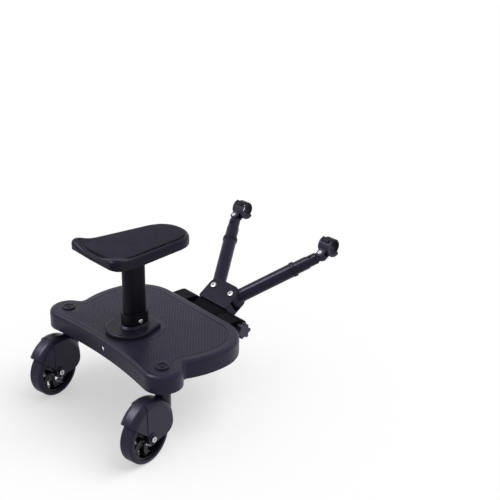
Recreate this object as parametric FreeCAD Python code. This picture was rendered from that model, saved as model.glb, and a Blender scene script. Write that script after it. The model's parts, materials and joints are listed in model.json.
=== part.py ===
"""Ride-on buggy board with a saddle seat: a moulded deck on two swivel casters, towed by two telescopic arms.

Millimetres. +X is the board's right, +Y points forward to the towing axle, +Z is up and the floor is z = 0.
The pieces are drawn with y = 0 on the line through both caster swivels, and are moved along Y when they are
written, so that the origin is the middle of the part's footprint on the floor.
"""
import FreeCAD, Part
import math
import os

from FreeCAD import Placement, Rotation, Vector

# Fits
RUN = 0.05                # radial play of a shaft that turns or slides in its hole
GAP = 0.3                 # play between faces that move past each other
STEEL = 2.5               # sheet thickness of the hitch channel

# Casters
WHEEL_R = 60.0
TYRE_W = 33.0
TYRE_SHOULDER = 6.0
RIM_R = 50.0
RIM_WALL = 4.5
RIM_W = 27.0
HUB_R = 14.5
SPOKE_COUNT = 6
SPOKE_W = 17.0
SPOKE_THICK = 4.6
SPOKE_SWEEP = 62.0        # degrees a spoke turns between hub and rim
SPOKE_FORK = 30.0         # degrees between the two branches of a spoke at the rim
BEARING_R = 11.0
BEARING_W = 7.0
AXLE_R = 4.0
AXLE_HEAD_R = 7.2
AXLE_HEAD_H = 6.0
TRAIL = 60.0              # wheel centre behind the swivel axis
SWING = 12.5              # degrees both casters are turned at rest
CASTER_TRACK = 350.0
WHEEL_CAVITY = 4.0        # room round the tyre
SIDE_ROOM = 1.5           # room beside the tyre
HOOD_R = 78.0
HOOD_LIFT = 6.0           # centre of the hood's round top, above the axle
HOOD_EDGE = 15.0
LEG_THICK = 4.5
BOSS_R = 13.0
BOSS_PROUD = 2.0
BOSS_DISH_R = 10.0        # round seat of the axle bolt inside the boss
LEG_NOSE_R = 24.0         # rounded lower front of a fork leg
LEG_NOSE_LOW = 10.0       # how far the nose reaches below the axle
LEG_REACH = 65.5          # front of the leg, from the axle
VISOR_R = 75.5
VISOR_AHEAD = 8.5         # centre of the visor's round top, from the axle
VISOR_LIFT = 8.5
VISOR_STEP = 1.0          # the rear visor is this much slimmer than the hood on each side
VISOR_ANGLE = 41.0        # degrees of the visor's lower edge above the horizontal
FORK_OPEN = 30.0          # the fork's front is open up to this height above the axle
NECK_R = 17.0
KINGPIN_R = 6.0
KINGPIN_DEPTH = 38.0
KINGPIN_NUT_R = 10.0
KINGPIN_NUT_H = 6.5
BUSH_WALL = 3.0
BUSH_FLANGE_R = 15.0
BUSH_FLANGE_H = 2.5
CAP_R = 15.0
CAP_H = 3.5
CAP_LIP = 2.5

# Deck
DECK_TOP = 194.0
DECK_H = 40.0
DECK_WALL = 4.0
DECK_FILLET = 10.0
LOBE_R = 43.5
REAR_Y = -29.5            # middle of the hollow rear edge
SIDE_R = 204.0
SIDE_Y = 125.0
CORNER_R = 99.0
FRONT_Y = 237.5
NOTCH_R = 12.0
RIB_THICK = 2.4
RIB_H = 20.0
RIB_PITCH = 50.0
CASTER_BOSS_R = 22.0
NUT_POCKET_R = 14.0
NUT_POCKET_H = 10.0
GROOVE_INSET = 24.0
GROOVE_W = 2.0
GROOVE_DEEP = 1.0
TRACK_R = 66.0            # arc grooves of the seat base's turning ring
TRACK_SPAN = 58.0
HANG_HOLE_R = 6.0
HANG_HOLE_Z = 172.0

# Seat
POST_Y = 58.0
POST_W = 33.0
POST_L = 54.0
POST_WALL = 2.5
SLEEVE_WALL = 4.8
SLEEVE_H = 32.0
FLANGE_H = 10.0
FLANGE_R = 52.0
FLANGE_BACK = 16.0        # centre of the round rear of the flange, behind the post
FLANGE_NOSE_R = 8.0
FLANGE_NOSE_X = 27.0
FLANGE_NOSE_Y = 40.0      # centre of the front corners, ahead of the post
FLANGE_FLOOR = 4.0        # thickness under the post
SEAT_TOP = 396.5          # top of the shell's flat rim
SHELL_SKIRT = 19.5
SHELL_WALL = 3.5
SHELL_RIB_PITCH = 44.0
SHELL_EDGE = 9.0
SEAT_CORNER_R = 18.0
SEAT_HALF = 82.5
SEAT_REAR = -48.5         # rear side, without the bow
SEAT_REAR_BOW = 2.0
SEAT_NOSE_R = 62.5
SEAT_NOSE_Y = 131.0
HORN_START = 50.0         # where the rear corners begin to sweep up, measured along x - y
HORN_RUN = 52.0
HORN_RISE = 11.0
KEEL_Y = 30.0             # the skirt's lower edge rises behind this line
KEEL_RISE = 10.0
PAD_INSET = 13.0
PAD_NOSE_INSET = 9.5
PAD_CORNER_R = 10.0
PAD_RECESS = 2.5          # depth of the tray that holds the pad
PAD_EDGE = 0.5            # how far the pad's edge stands above the rim
PAD_CROWN = 2.5
PAD_ROOM = 0.3
SEAT_BOLT_R = 3.0
SEAT_BOLT_HEAD_R = 5.5
SEAT_BOLT_Z = 14.0        # bolt height above the flange
SCREW_R = 2.2
SCREW_HEAD_R = 4.5
SCREW_HEAD_H = 3.0
SCREW_BITE = 7.0
BASE_SCREW_X = (38.0, 14.0)
BASE_SCREW_Y = (-28.0, 34.0)

# Hitch
ROD_Y = 270.0
ROD_DROP = 31.0           # hitch rod below the deck's top
ROD_Z = DECK_TOP - ROD_DROP
ROD_R = 5.0
LUG_IN = 56.0
LUG_W = 48.0
LUG_R = 22.0
LUG_BOSS_R = 13.0
BARREL_R = 14.0
PITCH = 34.0              # degrees the arms slope up at rest
PLATE_HALF = 47.0
PLATE_BACK = 19.5         # rear edge of the plates ahead of the rod
PLATE_LEN = 59.5
PLATE_CORNER = 20.0
CHEEK_LEN = 17.0          # side walls of the channel, from its rear edge
CHANNEL_HALF = 16.5       # half the room between the plates
PIVOT_X = 30.0
PIVOT_U = 57.0
PIVOT_BOLT_R = 4.0
PIVOT_HEAD_R = 7.5
PIVOT_HEAD_H = 4.0
NUT_H = 6.0
KNOB_STEM_R = 12.0
KNOB_STEM_L = 4.0
KNOB_R = 13.5
KNOB_LOBE_R = 4.5
KNOB_LOBES = 6
KNOB_L = 14.0
ROD_NUT_R = 9.0

# Arms
SPLAY = 32.0              # degrees each arm swings out at rest
KNUCKLE_R = 17.0
TUBE_R = 16.0
TUBE_WALL = 1.2
TUBE_START = 24.0
TUBE_END = 155.0
COLLAR_R = 17.5
COLLAR_L = 10.0
COLLAR_LIP = 3.0          # the collar passes the tube's end by this
PLUG_L = 22.0             # root plug inside the tube
SLIDE_WALL = 1.5
SLIDE_START = 72.0
SLIDE_END = 189.0
STUB_WALL = 2.5
STUB_START = 150.0
STUB_END = 212.0
BUTTON_R = 3.5
BUTTON_AT = 199.0
BUTTON_PROUD = 3.0
BUTTON_FOOT = 3.0         # length of the button's foot inside the stub
BUTTON_FOOT_R = 5.0
LEAF_W = 6.0
LEAF_THICK = 0.6
LEAF_REACH = 30.0
TONGUE_HALF = 6.0
TONGUE_R = 9.0
PIN_AT = 224.0            # cradle pin, from the arm pivot
PIN_R = 3.0
PIN_HEAD_R = 5.0
PIN_HEAD_H = 1.5
EAR_THICK = 4.5
AXLE_TUBE_R = 15.0        # axle that the cradles hold
CRADLE_REACH = 30.0       # axle centre ahead of the pin
CRADLE_W = 32.0
CRADLE_WALL = 7.0
STRAP_THICK = 4.0
STRAP_W = 22.0
STRAP_HOOK = 7.0

X_AXIS = Vector(1, 0, 0)
Y_AXIS = Vector(0, 1, 0)
Z_AXIS = Vector(0, 0, 1)
SIDE_VIEW = Rotation(Y_AXIS, Z_AXIS, X_AXIS, "XYZ")


# Shape helpers

def box(x0, x1, y0, y1, z0, z1):
    return Part.makeBox(x1 - x0, y1 - y0, z1 - z0, Vector(x0, y0, z0))


def rod(start, axis, radius, length):
    return Part.makeCylinder(radius, length, start, axis)


def pipe(start, axis, outer, inner, length):
    return rod(start, axis, outer, length).cut(rod(start, axis, inner, length))


def fuse(shapes):
    whole = shapes[0]
    for shape in shapes[1:]:
        whole = whole.fuse(shape)
    return whole.removeSplitter()


def cut(shape, tools):
    for tool in tools:
        shape = shape.cut(tool)
    return shape


def arc(centre, radius, start, end):
    """Arc in the XY plane, anticlockwise between two angles in radians."""
    def at(angle):
        return centre + Vector(math.cos(angle), math.sin(angle), 0) * radius
    return Part.Arc(at(start), at((start + end) / 2), at(end)).toShape()


def hull(circles, z=0.0):
    """Closed wire round circles (x, y, r), listed anticlockwise: tangent lines joined by arcs."""
    count = len(circles)
    normals = []
    for i in range(count):
        x0, y0, r0 = circles[i]
        x1, y1, r1 = circles[(i + 1) % count]
        span = math.hypot(x1 - x0, y1 - y0)
        along = ((x1 - x0) / span, (y1 - y0) / span)
        lean = (r0 - r1) / span
        side = math.sqrt(1 - lean * lean)
        normals.append((along[0] * lean + along[1] * side, along[1] * lean - along[0] * side))
    edges = []
    for i in range(count):
        x, y, r = circles[i]
        centre = Vector(x, y, z)
        start = math.atan2(normals[i - 1][1], normals[i - 1][0])
        end = math.atan2(normals[i][1], normals[i][0])
        edges.append(arc(centre, r, start, start + (end - start) % (2 * math.pi)))
        x1, y1, r1 = circles[(i + 1) % count]
        leave = centre + Vector(normals[i][0], normals[i][1], 0) * r
        reach = Vector(x1, y1, z) + Vector(normals[i][0], normals[i][1], 0) * r1
        edges.append(Part.makeLine(leave, reach))
    return Part.Wire(edges)


def prism(wire, direction):
    return Part.Face(wire).extrude(direction)


def polygon(points):
    return Part.makePolygon(points + points[:1])


def stadium(width, length, z0, z1):
    """Upright bar with half-round ends, longer along Y, centred on the seat post."""
    half = (length - width) / 2
    ends = [(0, POST_Y - half, width / 2), (0, POST_Y + half, width / 2)]
    return prism(hull(ends, z0), Z_AXIS * (z1 - z0))


def turned(points, start, axis):
    """Solid of revolution about an axis from a closed outline drawn in a plane through it."""
    return Part.Face(polygon(points)).revolve(start, axis, 360)


def hexagon(start, axis, radius, height):
    """Hexagonal bar with corners at the given radius."""
    corners = []
    for i in range(6):
        angle = math.radians(60 * i)
        corners.append(Vector(radius * math.cos(angle), radius * math.sin(angle), 0))
    bar = prism(polygon(corners), Z_AXIS * height)
    bar.Placement = Placement(start, Rotation(Z_AXIS, axis))
    return bar


def screw(seat, axis, radius, length, head_r, head_h):
    """Round-headed screw: its head stands on the seat point and its shank runs along the axis."""
    head = rod(seat - axis * head_h, axis, head_r, head_h)
    rim = [e for e in head.Edges if e.Curve.TypeId == "Part::GeomCircle"]
    outer = min(rim, key=lambda e: e.CenterOfMass.dot(axis))
    head = head.makeFillet(head_h * 0.45, [outer])
    return fuse([head, rod(seat, axis, radius, length)])


def level_edges(shape, z, tolerance=1e-4):
    boxes = [(e, e.BoundBox) for e in shape.Edges]
    return [e for e, b in boxes if abs(b.ZMin - z) < tolerance and abs(b.ZMax - z) < tolerance]


def put(shape, placement):
    moved = shape.copy()
    moved.Placement = placement.multiply(moved.Placement)
    return moved


# Deck

def deck_outline(inset, z):
    """The deck's plan: two caster lobes, a hollow rear edge and a rounded body, moved in by an inset."""
    half = CASTER_TRACK / 2
    hollow = (half ** 2 + REAR_Y ** 2 - LOBE_R ** 2) / (2 * (LOBE_R + REAR_Y))
    rear = Vector(0, REAR_Y - hollow, z)
    lobe = Vector(half, 0, z)
    side = Vector(0, SIDE_Y, z)
    corner_y = FRONT_Y - CORNER_R
    corner = Vector(math.sqrt((SIDE_R - CORNER_R) ** 2 - (corner_y - SIDE_Y) ** 2), corner_y, z)
    span = side - lobe
    near = LOBE_R + NOTCH_R
    far = SIDE_R + NOTCH_R
    along = (near ** 2 - far ** 2 + span.Length ** 2) / (2 * span.Length)
    off = math.sqrt(near ** 2 - along ** 2)
    toward = Vector(span).normalize()
    notch = lobe + toward * along + Vector(toward.y, -toward.x, 0) * off

    def heading(a, b):
        return math.atan2(b.y - a.y, b.x - a.x)

    def mirrored(edge):
        return edge.mirror(Vector(0, 0, 0), X_AXIS)

    turn = 2 * math.pi
    to_lobe = heading(rear, lobe)
    to_notch = heading(lobe, notch)
    from_side = heading(side, notch)
    to_corner = heading(side, corner)
    right = [
        arc(lobe, LOBE_R - inset, to_lobe - math.pi, to_notch),
        arc(notch, NOTCH_R + inset, heading(notch, side), to_notch + math.pi),
        arc(side, SIDE_R - inset, from_side, to_corner),
        arc(corner, CORNER_R - inset, to_corner, math.pi / 2),
    ]
    if to_notch + math.pi < heading(notch, side):
        right[1] = arc(notch, NOTCH_R + inset, heading(notch, side), to_notch + math.pi + turn)
    back = arc(rear, hollow + inset, to_lobe, math.pi - to_lobe)
    front_y = FRONT_Y - inset
    front = Part.makeLine(Vector(corner.x, front_y, z), Vector(-corner.x, front_y, z))
    edges = [back] + right + [front] + [mirrored(e) for e in right]
    return Part.Wire(Part.__sortEdges__(edges))


def deck_ribs(cavity, ceiling):
    """Crossed ribs under the top, clear of the bosses."""
    ribs = []
    reach = CASTER_TRACK
    for i in range(-4, 4):
        x = (i + 0.5) * RIB_PITCH
        ribs.append(box(x - RIB_THICK / 2, x + RIB_THICK / 2, -reach, reach, ceiling - RIB_H, ceiling))
    for i in range(0, 5):
        y = i * RIB_PITCH + RIB_THICK * 2
        ribs.append(box(-reach, reach, y - RIB_THICK / 2, y + RIB_THICK / 2, ceiling - RIB_H, ceiling))
    return [rib.common(cavity) for rib in ribs]


def caster_sides():
    return (("left", -1), ("right", 1))


def base_screw_places():
    return [(s * x, POST_Y + y) for x, y in zip(BASE_SCREW_X, BASE_SCREW_Y) for s in (-1, 1)]


def lug_screw_places():
    middle = LUG_IN + LUG_W / 2
    height = DECK_TOP - DECK_H / 2
    return [(s * middle + k * LUG_W / 4, height) for s in (-1, 1) for k in (-1, 1)]


def deck():
    floor = DECK_TOP - DECK_H
    ceiling = DECK_TOP - DECK_WALL
    block = prism(deck_outline(0, floor), Z_AXIS * DECK_H)
    block = block.makeFillet(DECK_FILLET, level_edges(block, DECK_TOP))
    cavity = prism(deck_outline(DECK_WALL, floor), Z_AXIS * (DECK_H - DECK_WALL))
    cavity = cavity.makeFillet(DECK_FILLET - DECK_WALL, level_edges(cavity, ceiling))
    shell = block.cut(cavity)
    bosses = []
    holes = []
    for _, s in caster_sides():
        x = s * CASTER_TRACK / 2
        bosses.append(rod(Vector(x, 0, floor), Z_AXIS, CASTER_BOSS_R, DECK_H - DECK_WALL))
        holes.append(rod(Vector(x, 0, floor), Z_AXIS, KINGPIN_R + RUN + BUSH_WALL, DECK_H))
        holes.append(rod(Vector(x, 0, DECK_TOP - NUT_POCKET_H), Z_AXIS, NUT_POCKET_R, NUT_POCKET_H))
    seat_y = FRONT_Y - DECK_WALL
    pads = [box(s * LUG_IN - (s < 0) * LUG_W, s * LUG_IN + (s > 0) * LUG_W, seat_y, FRONT_Y, floor,
                DECK_TOP - DECK_FILLET) for s in (-1, 1)]
    shell = fuse([shell] + deck_ribs(cavity, ceiling) + bosses + pads)
    for x, y in base_screw_places():
        holes.append(rod(Vector(x, y, ceiling), Z_AXIS, SCREW_R, DECK_WALL))
    for x, z in lug_screw_places():
        holes.append(rod(Vector(x, seat_y, z), Y_AXIS, SCREW_R, DECK_WALL))
        head_room = SCREW_HEAD_H + DECK_WALL
        holes.append(rod(Vector(x, seat_y - head_room, z), Y_AXIS, SCREW_HEAD_R + GAP, head_room))
    holes.append(rod(Vector(0, REAR_Y - DECK_WALL, HANG_HOLE_Z), Y_AXIS, HANG_HOLE_R, DECK_WALL * 3))
    return cut(shell, holes + deck_grooves())


def deck_grooves():
    """Shallow lines moulded in the top: the tread field's border and two arcs beside the seat base."""
    depth = Z_AXIS * GROOVE_DEEP
    bottom = DECK_TOP - GROOVE_DEEP
    border = prism(deck_outline(GROOVE_INSET - GROOVE_W / 2, bottom), depth)
    border = border.cut(prism(deck_outline(GROOVE_INSET + GROOVE_W / 2, bottom), depth))
    border = border.common(box(-SIDE_R, SIDE_R, CAP_R + GROOVE_W, FRONT_Y, bottom, DECK_TOP))
    centre = Vector(0, POST_Y, bottom)
    half = math.radians(TRACK_SPAN) / 2
    tracks = []
    for middle in (math.radians(20), math.radians(160)):
        inner = arc(centre, TRACK_R - GROOVE_W / 2, middle - half, middle + half)
        outer = arc(centre, TRACK_R + GROOVE_W / 2, middle - half, middle + half)
        ends = [Part.makeLine(inner.valueAt(p), outer.valueAt(q)) for p, q in
                ((inner.FirstParameter, outer.FirstParameter), (inner.LastParameter, outer.LastParameter))]
        wire = Part.Wire(Part.__sortEdges__([inner, outer] + ends))
        tracks.append(prism(wire, depth))
    return [border] + tracks


def hinge_lug(s):
    """Block on the deck's front that carries the hitch rod, with a round boss towards the bracket."""
    back = FRONT_Y
    circle = (ROD_Y, ROD_Z, LUG_R)
    tail = LUG_R / 2
    low = (back + tail, ROD_Z - LUG_R + tail, tail)
    high = (back + tail, ROD_Z + LUG_R - tail, tail)
    wire = hull([low, circle, high])
    side = prism(wire, Z_AXIS * LUG_W)
    side.Placement = Placement(Vector(LUG_IN, 0, 0), SIDE_VIEW)
    side = fuse([side, box(LUG_IN, LUG_IN + LUG_W, back, back + tail, ROD_Z - LUG_R, ROD_Z + LUG_R)])
    boss_start = PLATE_HALF + GAP
    boss = rod(Vector(boss_start, ROD_Y, ROD_Z), X_AXIS, LUG_BOSS_R, LUG_IN - boss_start)
    lug = fuse([side, boss])
    lug = lug.cut(rod(Vector(0, ROD_Y, ROD_Z), X_AXIS, ROD_R, LUG_IN + LUG_W))
    for x, z in lug_screw_places():
        lug = lug.cut(rod(Vector(abs(x), back, z), Y_AXIS, SCREW_R, SCREW_BITE))
    return lug if s > 0 else lug.mirror(Vector(0, 0, 0), X_AXIS)


def lug_screws():
    seat_y = FRONT_Y - DECK_WALL
    length = DECK_WALL + SCREW_BITE
    return Part.makeCompound([screw(Vector(x, seat_y, z), Y_AXIS, SCREW_R, length, SCREW_HEAD_R, SCREW_HEAD_H)
                              for x, z in lug_screw_places()])


# Seat

def flange_top():
    return DECK_TOP + FLANGE_H


def seat_base():
    """Foot of the seat: a rounded flange on the deck with an upright sleeve for the post."""
    nose_y = POST_Y + FLANGE_NOSE_Y
    plan = [(0, POST_Y - FLANGE_BACK, FLANGE_R), (FLANGE_NOSE_X, nose_y, FLANGE_NOSE_R),
            (-FLANGE_NOSE_X, nose_y, FLANGE_NOSE_R)]
    flange = prism(hull(plan, DECK_TOP), Z_AXIS * FLANGE_H)
    flange = flange.makeFillet(FLANGE_H * 0.45, level_edges(flange, flange_top()))
    sleeve = stadium(POST_W + 2 * SLEEVE_WALL, POST_L + 2 * SLEEVE_WALL, DECK_TOP, flange_top() + SLEEVE_H)
    skirt = stadium(POST_W + 4 * SLEEVE_WALL, POST_L + 4 * SLEEVE_WALL, DECK_TOP, flange_top() + SLEEVE_WALL)
    skirt = skirt.makeChamfer(SLEEVE_WALL * 0.9, level_edges(skirt, flange_top() + SLEEVE_WALL))
    base = fuse([flange, skirt, sleeve])
    socket = stadium(POST_W, POST_L, DECK_TOP + FLANGE_FLOOR, flange_top() + SLEEVE_H)
    holes = [socket, seat_bolt_hole()]
    for x, y in base_screw_places():
        holes.append(rod(Vector(x, y, DECK_TOP), Z_AXIS, SCREW_R, SCREW_BITE))
    return cut(base, holes)


def seat_bolt_hole():
    reach = POST_W
    return rod(Vector(-reach, POST_Y, flange_top() + SEAT_BOLT_Z), X_AXIS, SEAT_BOLT_R, 2 * reach)


def seat_base_screws():
    seat_z = DECK_TOP - DECK_WALL
    length = DECK_WALL + SCREW_BITE
    return Part.makeCompound([screw(Vector(x, y, seat_z), Z_AXIS, SCREW_R, length, SCREW_HEAD_R, SCREW_HEAD_H)
                              for x, y in base_screw_places()])


def seat_post():
    bottom = DECK_TOP + FLANGE_FLOOR
    top = SEAT_TOP - PAD_RECESS - SHELL_WALL
    outer = stadium(POST_W, POST_L, bottom, top)
    inner = stadium(POST_W - 2 * POST_WALL, POST_L - 2 * POST_WALL, bottom, top)
    return cut(outer, [inner, seat_bolt_hole()])


def sleeve_half():
    return POST_W / 2 + SLEEVE_WALL


def seat_bolt():
    seat = Vector(sleeve_half(), POST_Y, flange_top() + SEAT_BOLT_Z)
    length = 2 * sleeve_half() + NUT_H
    return screw(seat, -X_AXIS, SEAT_BOLT_R, length, SEAT_BOLT_HEAD_R, SEAT_BOLT_R)


def seat_nut():
    start = Vector(-sleeve_half() - NUT_H, POST_Y, flange_top() + SEAT_BOLT_Z)
    nut = hexagon(start, X_AXIS, SEAT_BOLT_HEAD_R, NUT_H)
    return nut.cut(rod(start, X_AXIS, SEAT_BOLT_R, NUT_H))


def seat_plan(inset, nose_inset, corner, z):
    """Plan of the saddle: a broad, bowed rear and a narrower round front."""
    x = SEAT_HALF - inset - corner
    y = SEAT_REAR + inset + corner
    return hull([(-x, y, corner), (0, y, corner + SEAT_REAR_BOW), (x, y, corner),
                 (0, SEAT_NOSE_Y, SEAT_NOSE_R - nose_inset)], z)


def horn_ramp(s, z):
    """Wedge under one rear corner: a flat S made of two equal arcs, square to the corner's diagonal."""
    reach = SEAT_NOSE_R + SEAT_NOSE_Y
    half = HORN_RUN / 2
    radius = (half ** 2 + (HORN_RISE / 2) ** 2) / HORN_RISE
    sweep = math.asin(half / radius) / 2
    quarter = radius * math.sin(sweep)
    lift = radius * (1 - math.cos(sweep))
    start = Vector(0, 0, z)
    middle = Vector(half, 0, z + HORN_RISE / 2)
    top = Vector(HORN_RUN, 0, z + HORN_RISE)
    edges = [
        Part.Arc(start, Vector(quarter, 0, z + lift), middle).toShape(),
        Part.Arc(middle, Vector(HORN_RUN - quarter, 0, z + HORN_RISE - lift), top).toShape(),
    ]
    below = z - reach
    corners = [top, Vector(reach, 0, z + HORN_RISE), Vector(reach, 0, below), Vector(0, 0, below), start]
    edges += [Part.makeLine(p, q) for p, q in zip(corners, corners[1:])]
    ramp = prism(Part.Wire(edges), Y_AXIS * (2 * reach))
    ramp.translate(Y_AXIS * -reach)
    fold = Vector(s * HORN_START / 2, -HORN_START / 2, 0)
    return put(ramp, Placement(fold, Rotation(Z_AXIS, -90 + s * 45)))


def saddle_below(z):
    """Everything under the saddle's surface at a height: flat, with both rear corners swept up."""
    reach = SEAT_NOSE_R + SEAT_NOSE_Y
    return fuse([box(-reach, reach, -reach, reach, z - reach, z), horn_ramp(-1, z), horn_ramp(1, z)])


def keel_below(z):
    """Everything under the shell's lower edge: flat, rising along one arc towards the rear."""
    reach = SEAT_NOSE_R + SEAT_NOSE_Y
    run = KEEL_Y - SEAT_REAR + SEAT_REAR_BOW
    radius = (run ** 2 + KEEL_RISE ** 2) / (2 * KEEL_RISE)
    pivot = Vector(-reach, KEEL_Y, z + radius)
    drum = rod(pivot, X_AXIS, radius, 2 * reach)
    rear = box(-reach, reach, KEEL_Y - reach, KEEL_Y, z - reach, z + KEEL_RISE * 2).cut(drum)
    return fuse([box(-reach, reach, KEEL_Y - reach, reach + KEEL_Y, z - reach, z), rear])


def seat_block(inset, nose_inset, corner, high):
    """Upright block of the saddle's plan under a saddle surface."""
    deep = SEAT_TOP - SHELL_SKIRT - SHELL_EDGE
    block = prism(seat_plan(inset, nose_inset, corner, deep), Z_AXIS * (high + 2 * HORN_RISE - deep))
    return block.common(saddle_below(high))


def top_rim(shape):
    """Edges where a slab's upright sides meet its top."""
    found = []
    for edge in shape.Edges:
        faces = shape.ancestorsOfType(edge, Part.Face)
        point = edge.valueAt((edge.FirstParameter + edge.LastParameter) / 2)
        ups = sorted(f.normalAt(*f.Surface.parameter(point)).z for f in faces)
        if len(ups) == 2 and ups[1] > 0.5 and abs(ups[0]) < 0.1:
            found.append(edge)
    return found


def shell_ribs(low, high):
    """Crossed ribs under the saddle, the middle ones through the post."""
    reach = SEAT_NOSE_R + SEAT_NOSE_Y
    half = RIB_THICK / 2
    ribs = []
    for i in (-1, 0, 1):
        x = i * SHELL_RIB_PITCH
        ribs.append(box(x - half, x + half, -reach, reach, low, high))
    for i in (-1, 0, 1, 2):
        y = POST_Y + i * SHELL_RIB_PITCH
        ribs.append(box(-reach, reach, y - half, y + half, low, high))
    return ribs


def seat_shell():
    """Moulded saddle: a rounded rim round a shallow tray, hollow below, with a socket for the post."""
    skirt = SEAT_TOP - SHELL_SKIRT
    tray = SEAT_TOP - PAD_RECESS
    ceiling = tray - SHELL_WALL
    keel = keel_below(skirt)
    shell = seat_block(0, 0, SEAT_CORNER_R, SEAT_TOP).cut(keel)
    shell = shell.makeFillet(SHELL_EDGE, top_rim(shell))
    inner = SHELL_EDGE + SHELL_WALL / 2
    shoulder = ceiling - SHELL_EDGE + SHELL_WALL
    hollow = fuse([seat_block(SHELL_WALL, SHELL_WALL, SEAT_CORNER_R - SHELL_WALL, shoulder),
                   seat_block(inner, inner, SEAT_CORNER_R - inner, ceiling)])
    shell = shell.cut(hollow)
    collar = stadium(POST_W + 2 * SLEEVE_WALL, POST_L + 2 * SLEEVE_WALL, skirt, ceiling)
    ribs = [rib.common(hollow).cut(keel) for rib in shell_ribs(skirt, tray)]
    shell = fuse([shell, collar] + ribs)
    pocket = seat_block(PAD_INSET - PAD_ROOM, PAD_NOSE_INSET - PAD_ROOM, PAD_CORNER_R + PAD_ROOM,
                        SEAT_TOP + SHELL_EDGE)
    return cut(shell, [stadium(POST_W, POST_L, skirt - SHELL_SKIRT, ceiling), pocket.cut(saddle_below(tray))])


def seat_pad():
    """Thin cushion in the shell's tray, crowned across its width, its corners swept up like the shell."""
    low = SEAT_TOP - PAD_RECESS
    edge = SEAT_TOP + PAD_EDGE
    half = SEAT_HALF - PAD_INSET
    crown_r = (half ** 2 + PAD_CROWN ** 2) / (2 * PAD_CROWN)
    length = SEAT_NOSE_Y + SEAT_NOSE_R - SEAT_REAR
    crown = rod(Vector(0, SEAT_REAR, edge + PAD_CROWN - crown_r), Y_AXIS, crown_r, length)
    raised = crown.common(box(-half, half, -length, length, edge, edge + PAD_CROWN))
    plan = seat_plan(PAD_INSET, PAD_NOSE_INSET, PAD_CORNER_R, low - HORN_RISE)
    block = prism(plan, Z_AXIS * (3 * HORN_RISE + edge - low + PAD_CROWN))
    top = fuse([saddle_below(edge), raised])
    return block.common(top).cut(saddle_below(low)).removeSplitter()


# Casters: drawn about the wheel centre, X along the axle and Y forward

def caster_place(s):
    turn = Rotation(Z_AXIS, SWING)
    swivel = Vector(s * CASTER_TRACK / 2, 0, WHEEL_R)
    return Placement(swivel, turn).multiply(Placement(Vector(0, -TRAIL, 0), Rotation()))


def wheel_disc(radius, half, edge):
    """Solid disc about the axle with rounded rims."""
    corner = radius - edge
    inner = half - edge
    tilt = edge * math.sqrt(0.5)
    turn = inner + tilt
    rise = corner + tilt
    wire = Part.Wire([
        Part.makeLine(Vector(-half, 0, 0), Vector(-half, 0, corner)),
        Part.Arc(Vector(-half, 0, corner), Vector(-turn, 0, rise), Vector(-inner, 0, radius)).toShape(),
        Part.makeLine(Vector(-inner, 0, radius), Vector(inner, 0, radius)),
        Part.Arc(Vector(inner, 0, radius), Vector(turn, 0, rise), Vector(half, 0, corner)).toShape(),
        Part.makeLine(Vector(half, 0, corner), Vector(half, 0, 0)),
        Part.makeLine(Vector(half, 0, 0), Vector(-half, 0, 0)),
    ])
    return Part.Face(wire).revolve(Vector(), X_AXIS, 360)


def fork_room():
    return TYRE_W / 2 + SIDE_ROOM


def leg_outer():
    return fork_room() + LEG_THICK


def neck_top():
    """Top of the fork's neck, just under the swivel bush, from the wheel centre."""
    return DECK_TOP - DECK_H - BUSH_FLANGE_H - GAP - WHEEL_R


def side_prism(wire, half):
    """Prism along the axle of an outline drawn with X forward and Y up."""
    solid = prism(wire, Z_AXIS * (2 * half))
    solid.Placement = Placement(Vector(-half, 0, 0), SIDE_VIEW)
    return solid


def hood_blank(radius, half, ahead, lift):
    """Round body over the wheel, about a centre ahead of the axle and above it."""
    blank = wheel_disc(radius, half, HOOD_EDGE)
    blank.translate(Vector(0, ahead, lift))
    return blank


def caster_fork():
    """Moulded fork: a hood over the tyre, a slimmer rear visor, two legs to the axle and an upright neck."""
    cavity_r = WHEEL_R + WHEEL_CAVITY
    tall = HOOD_R * 2
    nose = (LEG_REACH - LEG_NOSE_R, LEG_NOSE_R - LEG_NOSE_LOW, LEG_NOSE_R)
    legs = fuse([
        side_prism(hull([(0, 0, BOSS_R), nose]), tall),
        side_prism(polygon([Vector(-BOSS_R, 0, 0), Vector(LEG_REACH, nose[1], 0), Vector(LEG_REACH, tall, 0),
                            Vector(-BOSS_R, tall, 0)]), tall),
    ])
    front = hood_blank(HOOD_R, leg_outer(), 0, HOOD_LIFT).common(legs)
    rise = math.tan(math.radians(VISOR_ANGLE))
    wedge = polygon([Vector(0, 0, 0), Vector(0, tall, 0), Vector(-tall / rise, tall, 0)])
    visor = hood_blank(VISOR_R, leg_outer() - VISOR_STEP, VISOR_AHEAD, VISOR_LIFT)
    visor = visor.common(side_prism(wedge, tall))
    neck = rod(Vector(0, TRAIL, 0), Z_AXIS, NECK_R, neck_top())
    boss_half = leg_outer() + BOSS_PROUD
    boss = rod(Vector(-boss_half, 0, 0), X_AXIS, BOSS_R, 2 * boss_half)
    fork = fuse([front, visor, neck, boss])
    room = fork_room()
    holes = [
        rod(Vector(-room, 0, 0), X_AXIS, cavity_r, 2 * room),
        box(-room, room, TRAIL / 2, HOOD_R + NECK_R, -tall, FORK_OPEN),
        rod(Vector(-tall, 0, 0), X_AXIS, AXLE_R, 2 * tall),
        rod(Vector(0, TRAIL, neck_top() - KINGPIN_DEPTH), Z_AXIS, KINGPIN_R, KINGPIN_DEPTH),
        rod(Vector(leg_outer(), 0, 0), X_AXIS, BOSS_DISH_R, BOSS_PROUD),
        rod(Vector(-boss_half, 0, 0), X_AXIS, BOSS_DISH_R, BOSS_PROUD),
    ]
    return cut(fork, holes)


def nut_seat():
    """Underside of the swivel nut, above the bush."""
    return DECK_TOP - NUT_POCKET_H + GAP


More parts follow.
